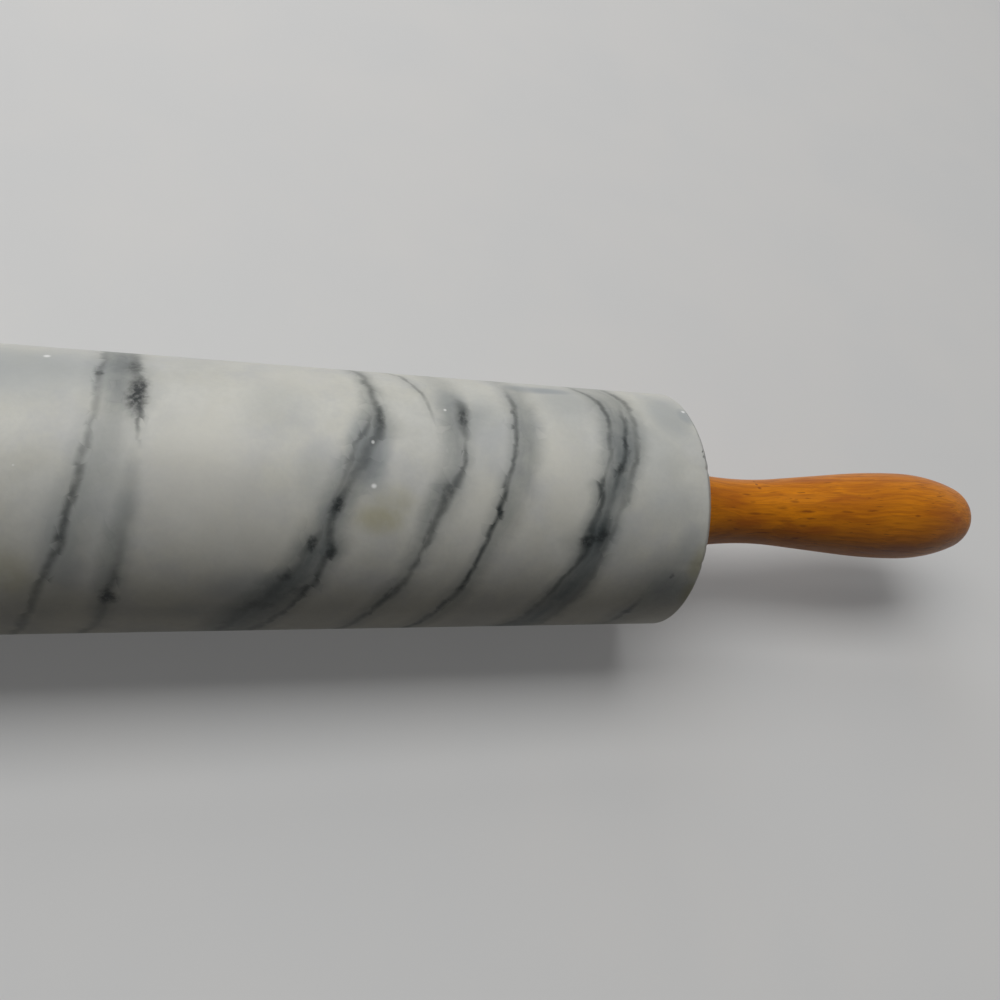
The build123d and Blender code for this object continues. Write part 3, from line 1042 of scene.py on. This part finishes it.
fragment_size = 3.2
fragment_shift = 0.32
cells = {"Vector": shaken(tree, turned, 4.0, 1.0), "Scale": 1 / fragment_size, "Randomness": 1.0}
fragment = add_node(tree, "TexVoronoi", cells, "Color")
crack_distance = add_node(tree, "TexVoronoi", cells, "Distance", feature="DISTANCE_TO_EDGE")
wandering = shaken(tree, turned, 7.0, 0.8)
point = shaken(tree, moved(tree, wandering, fragment, fragment_shift), 1.6, 0.2)
parts = add_node(tree, "SeparateXYZ", {0: point}).outputs
angle = add_node(tree, "Math", {0: parts[1], 1: parts[2]}, 0, operation="ARCTAN2")
angle_share = add_node(tree, "MapRange", {0: angle, 1: -pi, 2: pi}, 0)
across = add_node(tree, "CombineXYZ", {1: parts[1], 2: parts[2]}, 0)
depth = add_node(tree, "VectorMath", {0: across}, "Value", operation="LENGTH")
depth_share = joined(tree, "MULTIPLY", [depth, 1 / barrel_radius])

# %% Sheets and spots
where = (angle_share, parts[0], depth_share)
measure_sheet = sheet_group()
measure_spot = spot_group()
vein_sheets = [read_sheet(tree, measure_sheet, curves, *where) for curves in veins]
haze_sheets = [read_sheet(tree, measure_sheet, curves, *where) for curves in hazes]
print(len(veins) + len(hazes), "sheets cut the stone")


def stone_spots(table, point):
    """The amount of a table of spots on the barrel's wall."""
    along, angle = on_barrel(np.array(table)[:, :2])
    places = (along, angle, np.full(len(table), barrel_radius))
    return read_spots(tree, measure_spot, places, table, point)


# %% The ground colour

# From the bottom up: broad grey clouds, milky clouds, cool mottling, crystal grains, and the warm,
# cool and stained places that the photograph shows. The warm places are partly the stone's own tone
# and partly painted light, which brightens the middle of the barrel's near side.
patchy = lumps(tree, turned, 5.0, 0.3, 0.6, least=0.5, detail=3.0)
ground = lay_over(tree, "#D0CFC5", [
    (lumps(tree, turned, 30.0, 0.4, 0.7, detail=3.0), "#C6C6BF"),
    (lumps(tree, turned, 7.0, 0.3, 0.75, most=0.5, detail=4.0), "#DBDBD5"),
    (lumps(tree, turned, 12.0, 0.45, 0.65, most=0.35, detail=4.0), "#BEBFC1"),
    (lumps(tree, turned, 1.1, 0.35, 0.7, most=0.12), "#B2B3B3"),
    (stone_spots(warm_spots_and_painted_light, wandering), "#DBD9CF"),
    (stone_spots(cool_spots, wandering), "#A1A6A8"),
    (joined(tree, "MULTIPLY", [stone_spots(stain_spots, wandering), patchy]), "#ACA680"),
])

# %% [markdown]
# A haze is cloudy, and streaked in layers that lie along the tilted plane. A vein's dark line
# comes and goes every few millimetres, and stains the stone beside it a little. Hairline cracks
# follow the edges of the shifted fragments, and show only inside a haze. The darkest knots, where
# the mineral is coarse, are grainy.

# %% Veins and hazes over the ground
fringe_strength = 0.42
crack_width = 0.07
crack_strength = 0.18
cloudy = lumps(tree, wandering, 6.0, 0.25, 0.6, least=0.8, detail=4.0)
tilt = (1, -sheet_rise / barrel_radius, -sheet_bulge / barrel_radius)
sheared = add_node(tree, "VectorMath", {0: point, 1: tilt}, "Value", operation="DOT_PRODUCT")
laminated = add_node(tree, "CombineXYZ", {0: sheared, 1: parts[1], 2: parts[2]}, 0)
streaked = lumps(tree, laminated, 1.3, 0.3, 0.6, least=0.92, detail=3.0, stretch=(1, 7, 7))
broken = lumps(tree, turned, 3.2, 0.3, 0.6, least=0.6, detail=4.0)
grainy = lumps(tree, turned, 0.8, 0.3, 0.58, least=0.5)
haze_core = joined(tree, "MAXIMUM", [sheet["Core"] for sheet in haze_sheets])
haze_here = joined(tree, "MULTIPLY", [haze_core, cloudy, streaked])
fringe = joined(tree, "MAXIMUM", [sheet["Fringe"] for sheet in vein_sheets])
fringe = joined(tree, "MULTIPLY", [fringe, cloudy, fringe_strength])
vein_core = joined(tree, "MAXIMUM", [sheet["Core"] for sheet in vein_sheets])
vein_here = joined(tree, "MULTIPLY", [vein_core, broken])
crack_line = {0: crack_distance, 1: crack_width, 2: 0.0, 4: crack_strength}
crack_line = add_node(tree, "MapRange", crack_line, 0, interpolation_type="SMOOTHSTEP")
crack_here = joined(tree, "MULTIPLY", [crack_line, haze_here, lumps(tree, turned, 9.0, 0.45, 0.6)])
dark_here = stone_spots(dark_spots, shaken(tree, wandering, 1.3, 0.9))
dark_here = joined(tree, "MULTIPLY", [dark_here, grainy])
stone_colour = lay_over(tree, ground, [
    (fringe, "#787E7E"),
    (haze_here, "#5B6263"),
    (joined(tree, "MAXIMUM", [vein_here, crack_here]), "#2B3131"),
    (dark_here, "#1D2223"),
    (stone_spots(white_spots, turned), "#F2F2F0"),
])

# %% Ground rims and ends

# The rims and ends were ground but not polished, so they look greyer. That starts at rim_from and
# is full at rim_full, in mm along X.
rim_from = barrel_end - 1.5
rim_full = barrel_end - 0.5
rim_strength = 0.3
end_distance = add_node(tree, "Math", {0: parts[0]}, 0, operation="ABSOLUTE")
rim_start = {0: end_distance, 1: rim_from, 2: rim_full, 4: rim_strength}
unpolished = add_node(tree, "MapRange", rim_start, 0, interpolation_type="SMOOTHSTEP")
stone_colour = lay_over(tree, stone_colour, [(unpolished, "#8D8E89")])

# %% The stone's shader: a satin polish with shallow pits
polish = lumps(tree, turned, 7.0, 0.3, 0.7, least=0.36, most=0.46, detail=4.0)
pits = lumps(tree, turned, 2.0, 0.3, 0.7, detail=3.0)
finish_surface(tree, stone_colour, polish, pits, strength=0.08, sockets={
    "IOR": 1.5, "Specular IOR Level": 0.25, "Subsurface Weight": 0.1,
    "Subsurface Radius": (1.2, 1.1, 1.0), "Subsurface Scale": 1.5 * mm,
})
stone.data.materials.append(marble)

# %% [markdown]
# ## Varnished wood
#
# The handles are turned from a medium hardwood, such as beech or rubberwood, and varnished amber.
# Turning cuts through the yearly growth bands, which show as long lines that close in ovals near
# the nose. Short dark dashes are the pores and rays, cut lengthwise. Everything is stretched
# along X, the way the wood grew. The seen handle has a few larger dark flecks and a short split
# near its neck, which are placed by pixel as the stone's spots are.

# %% Flecks on the seen handle: pixel right, pixel down, half width and half height in mm, strength
wood_flecks = [
    (754, 481.5, 0.4, 0.7, 0.8), (756.5, 484.5, 0.6, 0.6, 0.9), (759.5, 488, 0.8, 0.5, 0.9),
    (766, 486, 2.2, 0.35, 0.6), (747, 494.5, 2.0, 0.45, 0.65), (753, 502, 1.4, 0.4, 0.4),
    (795, 501.5, 2.0, 0.55, 0.55), (755, 513.5, 3.0, 0.5, 0.6), (770, 514.5, 3.5, 0.5, 0.4),
    (782, 508, 2.4, 0.5, 0.4), (808, 511.5, 4.0, 0.5, 0.75), (811, 518.5, 2.6, 0.35, 0.6),
    (785, 521, 3.6, 0.6, 0.45), (803, 526, 2.0, 0.5, 0.5), (763, 532.5, 5.0, 0.4, 0.6),
    (779, 530, 4.6, 0.6, 0.3), (795, 538.5, 2.0, 0.6, 0.5), (848, 512, 5.0, 0.35, 0.6),
    (873, 511, 3.0, 0.35, 0.6), (918, 516, 1.4, 0.5, 0.6), (905, 489, 3.0, 0.5, 0.4),
    (838, 493, 3.0, 0.4, 0.4), (930, 548, 5.0, 0.5, 0.5), (888, 551, 5.0, 0.5, 0.45),
]


def on_handle(pixels, tip_margin=0.5):
    """Where rays through the pixels meet the seen handle: places along X, angles and radii. The
    radius at a place is guessed, and the ray and the outline are then asked in turn. Places are
    kept a margin in mm away from the tip, where the outline is too steep for this."""
    radius = np.full(len(pixels), neck_radius)
    for _ in range(8):
        along, angle = on_barrel(pixels, radius)
        radius = handle_radius(np.clip(along - handle_base, base_chamfer, handle_length - tip_margin))
    return along, angle, radius


places = on_handle(np.array(wood_flecks)[:, :2])
print("flecks lie from", round(places[0].min(), 1), "to", round(places[0].max(), 1), "mm")

# %% Wood grain

# Points are turned and moved before the rings are drawn, which puts the trunk's heart 26 mm in
# front of the handle's axis and 15 mm above it, leaning a few degrees. The wave texture makes 20
# rings in 2 pi of its own units.
heart_shift = (0, 26.0, -15.0)
heart_lean = (0, radians(2.5), radians(1.5))
ring_spacing = 2.6
wave_length = 2 * pi / 20
wood, tree, in_mm = new_material("varnished_turned_hardwood")
turned = add_node(tree, "Mapping", {0: in_mm, "Rotation": (camera_elevation - pi / 2, 0, 0)}, 0)
wavy = shaken(tree, in_mm, 25.0, 2.0)
heart = {0: wavy, "Location": heart_shift, "Rotation": heart_lean}
rings = {
    "Vector": add_node(tree, "Mapping", heart, 0), "Scale": wave_length / ring_spacing,
    "Distortion": 1.5, "Detail": 2.0, "Detail Scale": 0.6,
}
rings = add_node(tree, "TexWave", rings, "Fac", wave_type="RINGS", rings_direction="X", wave_profile="SAW")
flecks = read_spots(tree, measure_spot, places, wood_flecks, shaken(tree, turned, 1.5, 0.15))

# From the bottom up: growth bands, long streaks, fine fibres, broad and narrow clouds, and pores
wood_colour = lay_over(tree, "#E0880C", [
    (joined(tree, "MULTIPLY", [rings, 0.5]), "#BA6F0D"),
    (lumps(tree, wavy, 1.1, 0.45, 0.68, most=0.45, stretch=(14, 1, 1)), "#A3540A"),
    (lumps(tree, wavy, 0.45, 0.42, 0.7, most=0.3, detail=3.0, stretch=(16, 1, 1)), "#97510A"),
    (lumps(tree, in_mm, 9.0, 0.42, 0.7, most=0.4, stretch=(2.5, 1, 1)), "#A2560E"),
    (lumps(tree, in_mm, 5.0, 0.46, 0.7, most=0.45, stretch=(5, 1, 1)), "#93400C"),
    (lumps(tree, in_mm, 0.5, 0.66, 0.76, most=0.6, detail=1.0, stretch=(10, 1, 1)), "#6A3508"),
    (flecks, "#743605"),
])
varnish = lumps(tree, wavy, 0.45, 0.3, 0.7, least=0.34, most=0.44, stretch=(16, 1, 1))
pores = lumps(tree, wavy, 0.45, 0.3, 0.7, detail=3.0, stretch=(16, 1, 1))
finish_surface(tree, wood_colour, varnish, pores, strength=0.2, sockets={
    "IOR": 1.5, "Specular IOR Level": 0.2, "Coat Weight": 0.05, "Coat Roughness": 0.3,
})
for handle in handles.values():
    handle.data.materials.append(wood)

# %% [markdown]
# ## The fittings' finishes
#
# Four small finishes are nearly hidden, but they show from close by and when the pin is taken
# apart. Drawn steel has fine lines along its length. Zinc plating is bluish, with faint cloudy
# patches. Brass from a screw machine keeps fine turning lines round its axis. Moulded nylon is a
# milky off-white with a soft sheen. The real lines are finer still, and are drawn about a quarter
# of a millimetre wide so that they show.

# %% Bright drawn steel
steel, tree, in_mm = new_material("bright_drawn_steel")
colour = lay_over(tree, "#A9ACAF", [(lumps(tree, in_mm, 6.0, 0.35, 0.65, detail=3.0), "#BDBFC1")])
drawn = lumps(tree, in_mm, 0.25, 0.3, 0.7, stretch=(60, 1, 1))
shine = lumps(tree, in_mm, 0.25, 0.3, 0.7, least=0.2, most=0.34, stretch=(60, 1, 1))
finish_surface(tree, colour, shine, drawn, strength=0.08, sockets={"Metallic": 1.0})
rod.data.materials.append(steel)

# %% Zinc plating
zinc, tree, in_mm = new_material("zinc_plated_pressed_steel")
colour = lay_over(tree, "#AEB4BC", [(lumps(tree, in_mm, 2.5, 0.35, 0.65, detail=3.0), "#C2C6CA")])
shine = lumps(tree, in_mm, 0.3, 0.3, 0.7, least=0.3, most=0.42, detail=1.0)
crystals = lumps(tree, in_mm, 0.3, 0.3, 0.7)
finish_surface(tree, colour, shine, crystals, strength=0.05, sockets={"Metallic": 1.0})

# %% Machined brass
brass, tree, in_mm = new_material("machined_brass")
colour = lay_over(tree, "#CBA552", [(lumps(tree, in_mm, 3.0, 0.4, 0.7, detail=3.0), "#A9823A")])
lines = lumps(tree, in_mm, 4.0, 0.3, 0.7, detail=1.0, stretch=(0.05, 1, 1))
shine = lumps(tree, in_mm, 4.0, 0.3, 0.7, least=0.22, most=0.36, detail=1.0, stretch=(0.05, 1, 1))
finish_surface(tree, colour, shine, lines, strength=0.05, sockets={"Metallic": 1.0})

# %% Moulded nylon
nylon, tree, in_mm = new_material("moulded_natural_nylon")
colour = lay_over(tree, "#DDD8C9", [(lumps(tree, in_mm, 5.0, 0.35, 0.7), "#E9E6DC")])
shine = lumps(tree, in_mm, 0.25, 0.3, 0.7, least=0.4, most=0.52, detail=1.0)
dimples = lumps(tree, in_mm, 0.25, 0.3, 0.7)
finish_surface(tree, colour, shine, dimples, strength=0.05, sockets={
    "IOR": 1.53, "Subsurface Weight": 0.2, "Subsurface Radius": (1.0, 0.95, 0.8),
    "Subsurface Scale": 1.0 * mm,
})

# %% Dress the fittings
for pieces, finish in ((washers, zinc), (inserts, brass), (bushes, nylon)):
    for piece in pieces.values():
        piece.data.materials.append(finish)

# %% [markdown]
# ## Table top, lamps and sky
#
# The pin lies on a table top of board, painted matt white, which gives the eye an even pale ground
# with no shine. A broad panel, a little behind overhead, and a soft window, high behind the pin,
# light the top of the stone and leave its near side dark, with a wide shadow in front of it. A
# dim pale sky fills in a little. Light that the table throws back would wash out the shaded side
# of the stone, so the table is pale for the rays that see it and darker for those that only carry
# light on. A faint glow, for the rays that see it, keeps its shadows from going black.

# %% Table top

# Half the table's side in metres, the roughness of its paint, and how strongly it glows
table_half = 2.0
table_roughness = 0.7
table_glow = 0.1
floor_height = cad_box[0].z
corners = np.array([(-1, -1, 0), (1, -1, 0), (1, 1, 0), (-1, 1, 0)]) * (table_half, table_half, 0)
floor_mesh = bpy.data.meshes.new("table_top")
floor_mesh.from_pydata((corners + (0, 0, floor_height)).tolist(), [], [(0, 1, 2, 3)])
floor = bpy.data.objects.new("table_top", floor_mesh)
bpy.context.scene.collection.objects.link(floor)
floor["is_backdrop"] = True


def seen_directly(tree):
    """1 for a ray that shows a surface: from the camera, in a reflection or through glass."""
    rays = add_node(tree, "LightPath").outputs
    return joined(tree, "MAXIMUM", [rays[f"Is {kind} Ray"] for kind in ("Camera", "Glossy", "Transmission")])


paint, tree, in_mm = new_material("matt_white_board")
seen_ray = seen_directly(tree)
pale = lay_over(tree, "#C6C6C5", [(lumps(tree, in_mm, 60.0, 0.3, 0.7), "#C9C8C6")])
board = lay_over(tree, "#514A3B", [(seen_ray, pale)])
stipple = lumps(tree, in_mm, 1.0, 0.3, 0.7)
finish_surface(tree, board, table_roughness, stipple, strength=0.02, sockets={
    "Emission Color": "#FFFFFF", "Emission Strength": joined(tree, "MULTIPLY", [seen_ray, table_glow]),
})
floor_mesh.materials.append(paint)

# %% Lamps


def add_lamp(name, direction, distance, width, depth, watts):
    """A rectangular lamp that faces the pin from a direction, its width along X, in metres."""
    data = bpy.data.lights.new(name, "AREA")
    data.shape = "RECTANGLE"
    data.size, data.size_y = width, depth
    data.energy = watts
    lamp = bpy.data.objects.new(name, data)
    direction = Vector(direction).normalized()
    lamp.location = direction * distance + Vector((barrel_end / 2 * mm, 0, 0))
    across = (Vector((1, 0, 0)) - direction * direction.x).normalized()
    turn = Matrix((across, direction.cross(across), direction)).transposed()
    lamp.rotation_euler = turn.to_euler()
    bpy.context.scene.collection.objects.link(lamp)


add_lamp("ceiling_panel", (-0.3, 0.36, 1.0), distance=1.5, width=2.0, depth=0.7, watts=17.2)
add_lamp("high_window", (-0.25, 1.0, 0.72), distance=1.5, width=0.8, depth=0.8, watts=4.7)

# %% Sky
sky_fill = 0.042
sky_seen = 0.5
world = bpy.data.worlds.new("pale_room")
world.use_nodes = True
tree = world.node_tree
tree.nodes.clear()
strength = add_node(tree, "MapRange", {0: seen_directly(tree), 3: sky_fill, 4: sky_seen}, 0)
sky = add_node(tree, "Background", {"Color": "#F2F3F5", "Strength": strength}, 0)
add_node(tree, "OutputWorld", {0: sky})
bpy.context.scene.world = world
bpy.context.scene.view_settings.view_transform = "Standard"

# %% [markdown]
# ## Sizes at the end
#
# The dressed model must fit the imported one, so both boxes are gathered, and the dressed one is printed in
# mm.

# %% Finish
boxes = {"cad": cad_box, "visual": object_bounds()}
boxes = {name: [list(corner) for corner in box] for name, box in boxes.items()}
print("size in mm", [[round(v / mm, 2) for v in corner] for corner in boxes["visual"]])
